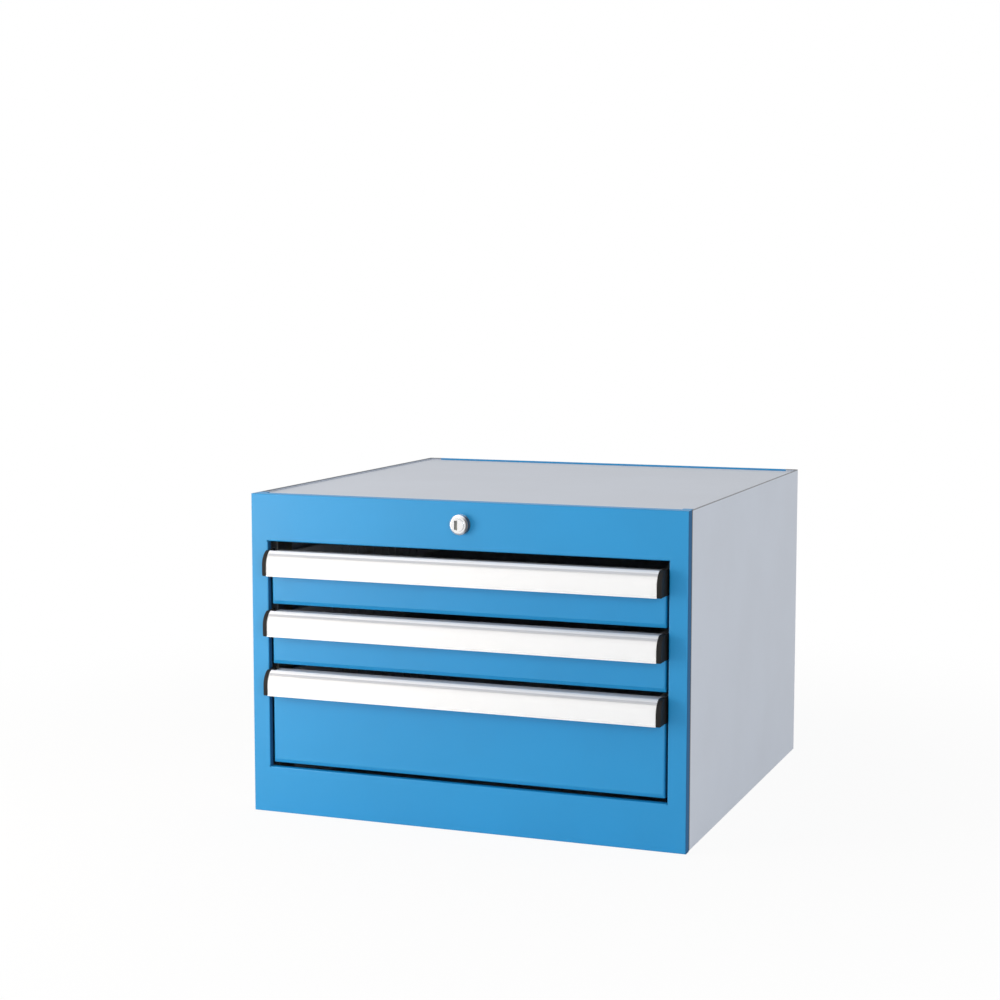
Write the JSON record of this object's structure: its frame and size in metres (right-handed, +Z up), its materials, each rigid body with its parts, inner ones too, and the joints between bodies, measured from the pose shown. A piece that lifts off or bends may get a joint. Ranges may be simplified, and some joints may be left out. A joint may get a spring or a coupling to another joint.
{
  "type": "drawer cabinet",
  "caption": "Low sheet-steel drawer cabinet with a recessed top, full-width handles with label strips, ball-bearing slides and a key lock in the middle of the top fascia.",
  "frame": {"origin": "middle of the base, on the surface that the cabinet stands on", "axes": "+X to the right as seen from the front, +Y from the front to the back, +Z up"},
  "size_m": [0.56, 0.592, 0.4],
  "materials": {
    "blue_paint": "satin powder coat",
    "grey_paint": "satin powder coat",
    "tray_paint": "satin powder coat",
    "zinc_steel": "zinc plated",
    "slide_steel": "bright zinc plated",
    "cage_steel": "zinc plated, with polished balls",
    "handle_white": "white coated",
    "label_card": "matt white card",
    "clear_cover": "clear gloss",
    "black_plastic": "fine-grained black",
    "guide_plastic": "smooth black",
    "rubber": "matt black",
    "lock_metal": "satin chrome plated"
  },
  "bodies": {
    "housing": {"back_panel": "blue_paint", "bar_guides": "guide_plastic", "bottom_panel": "grey_paint", "drawer_1_outer_rails": "slide_steel", "drawer_2_outer_rails": "slide_steel", "drawer_3_outer_rails": "slide_steel", "front_frame": "blue_paint", "front_uprights": "zinc_steel", "left_side_panel": "grey_paint", "lock_body": "lock_metal", "lock_nut": "zinc_steel", "panel_screws": "zinc_steel", "rail_bumpers": "rubber", "rail_screws": "zinc_steel", "rear_uprights": "zinc_steel", "right_side_panel": "grey_paint", "shaft_bracket": "zinc_steel", "top_panel": "grey_paint"},
    "drawer_1": {"drawer_1_catch": "zinc_steel", "drawer_1_fasteners": "zinc_steel", "drawer_1_front": "blue_paint", "drawer_1_handle": "handle_white", "drawer_1_handle_caps": "black_plastic", "drawer_1_inner_rails": "slide_steel", "drawer_1_label": "label_card", "drawer_1_label_cover": "clear_cover", "drawer_1_tray": "tray_paint"},
    "drawer_1_middle": {"drawer_1_middle_rails": "slide_steel"},
    "drawer_1_outer_cage": {"drawer_1_outer_cages": "cage_steel"},
    "drawer_1_inner_cage": {"drawer_1_inner_cages": "cage_steel"},
    "drawer_2": {"drawer_2_catch": "zinc_steel", "drawer_2_fasteners": "zinc_steel", "drawer_2_front": "blue_paint", "drawer_2_handle": "handle_white", "drawer_2_handle_caps": "black_plastic", "drawer_2_inner_rails": "slide_steel", "drawer_2_label": "label_card", "drawer_2_label_cover": "clear_cover", "drawer_2_tray": "tray_paint"},
    "drawer_2_middle": {"drawer_2_middle_rails": "slide_steel"},
    "drawer_2_outer_cage": {"drawer_2_outer_cages": "cage_steel"},
    "drawer_2_inner_cage": {"drawer_2_inner_cages": "cage_steel"},
    "drawer_3": {"drawer_3_catch": "zinc_steel", "drawer_3_fasteners": "zinc_steel", "drawer_3_front": "blue_paint", "drawer_3_handle": "handle_white", "drawer_3_handle_caps": "black_plastic", "drawer_3_inner_rails": "slide_steel", "drawer_3_label": "label_card", "drawer_3_label_cover": "clear_cover", "drawer_3_tray": "tray_paint"},
    "drawer_3_middle": {"drawer_3_middle_rails": "slide_steel"},
    "drawer_3_outer_cage": {"drawer_3_outer_cages": "cage_steel"},
    "drawer_3_inner_cage": {"drawer_3_inner_cages": "cage_steel"},
    "lock_cylinder": {"lock_plug": "lock_metal", "lock_shaft": "zinc_steel", "lock_crank": "zinc_steel"},
    "locking_bar": {"locking_bar": "zinc_steel"}
  },
  "joints": [
    {"name": "drawer_1_slide", "type": "slide", "parent": "housing", "child": "drawer_1", "axis": [0, -1, 0], "range_m": [0, 0.48]},
    {"name": "drawer_1_middle_slide", "type": "slide", "parent": "housing", "child": "drawer_1_middle", "axis": [0, -1, 0], "range_m": [0, 0.24]},
    {"name": "drawer_1_outer_cage_slide", "type": "slide", "parent": "housing", "child": "drawer_1_outer_cage", "axis": [0, -1, 0], "range_m": [0, 0.12]},
    {"name": "drawer_1_inner_cage_slide", "type": "slide", "parent": "housing", "child": "drawer_1_inner_cage", "axis": [0, -1, 0], "range_m": [0, 0.36]},
    {"name": "drawer_2_slide", "type": "slide", "parent": "housing", "child": "drawer_2", "axis": [0, -1, 0], "range_m": [0, 0.48]},
    {"name": "drawer_2_middle_slide", "type": "slide", "parent": "housing", "child": "drawer_2_middle", "axis": [0, -1, 0], "range_m": [0, 0.24]},
    {"name": "drawer_2_outer_cage_slide", "type": "slide", "parent": "housing", "child": "drawer_2_outer_cage", "axis": [0, -1, 0], "range_m": [0, 0.12]},
    {"name": "drawer_2_inner_cage_slide", "type": "slide", "parent": "housing", "child": "drawer_2_inner_cage", "axis": [0, -1, 0], "range_m": [0, 0.36]},
    {"name": "drawer_3_slide", "type": "slide", "parent": "housing", "child": "drawer_3", "axis": [0, -1, 0], "range_m": [0, 0.48]},
    {"name": "drawer_3_middle_slide", "type": "slide", "parent": "housing", "child": "drawer_3_middle", "axis": [0, -1, 0], "range_m": [0, 0.24]},
    {"name": "drawer_3_outer_cage_slide", "type": "slide", "parent": "housing", "child": "drawer_3_outer_cage", "axis": [0, -1, 0], "range_m": [0, 0.12]},
    {"name": "drawer_3_inner_cage_slide", "type": "slide", "parent": "housing", "child": "drawer_3_inner_cage", "axis": [0, -1, 0], "range_m": [0, 0.36]},
    {"name": "lock_turn", "type": "hinge", "parent": "housing", "child": "lock_cylinder", "pos_m": [0, 0, 0.373], "axis": [0, -1, 0], "range_deg": [0, 90]},
    {"name": "locking_bar_lift", "type": "slide", "parent": "housing", "child": "locking_bar", "axis": [0, 0, 1], "range_m": [0, 0.0113]}
  ],
  "couplings": [
    {"joint": "drawer_1_middle_slide", "follows": "drawer_1_slide", "ratio": 0.5},
    {"joint": "drawer_1_outer_cage_slide", "follows": "drawer_1_slide", "ratio": 0.25},
    {"joint": "drawer_1_inner_cage_slide", "follows": "drawer_1_slide", "ratio": 0.75},
    {"joint": "drawer_2_middle_slide", "follows": "drawer_2_slide", "ratio": 0.5},
    {"joint": "drawer_2_outer_cage_slide", "follows": "drawer_2_slide", "ratio": 0.25},
    {"joint": "drawer_2_inner_cage_slide", "follows": "drawer_2_slide", "ratio": 0.75},
    {"joint": "drawer_3_middle_slide", "follows": "drawer_3_slide", "ratio": 0.5},
    {"joint": "drawer_3_outer_cage_slide", "follows": "drawer_3_slide", "ratio": 0.25},
    {"joint": "drawer_3_inner_cage_slide", "follows": "drawer_3_slide", "ratio": 0.75},
    {"joint": "lock_turn", "follows": "locking_bar_lift", "rad_per_m": 139}
  ]
}
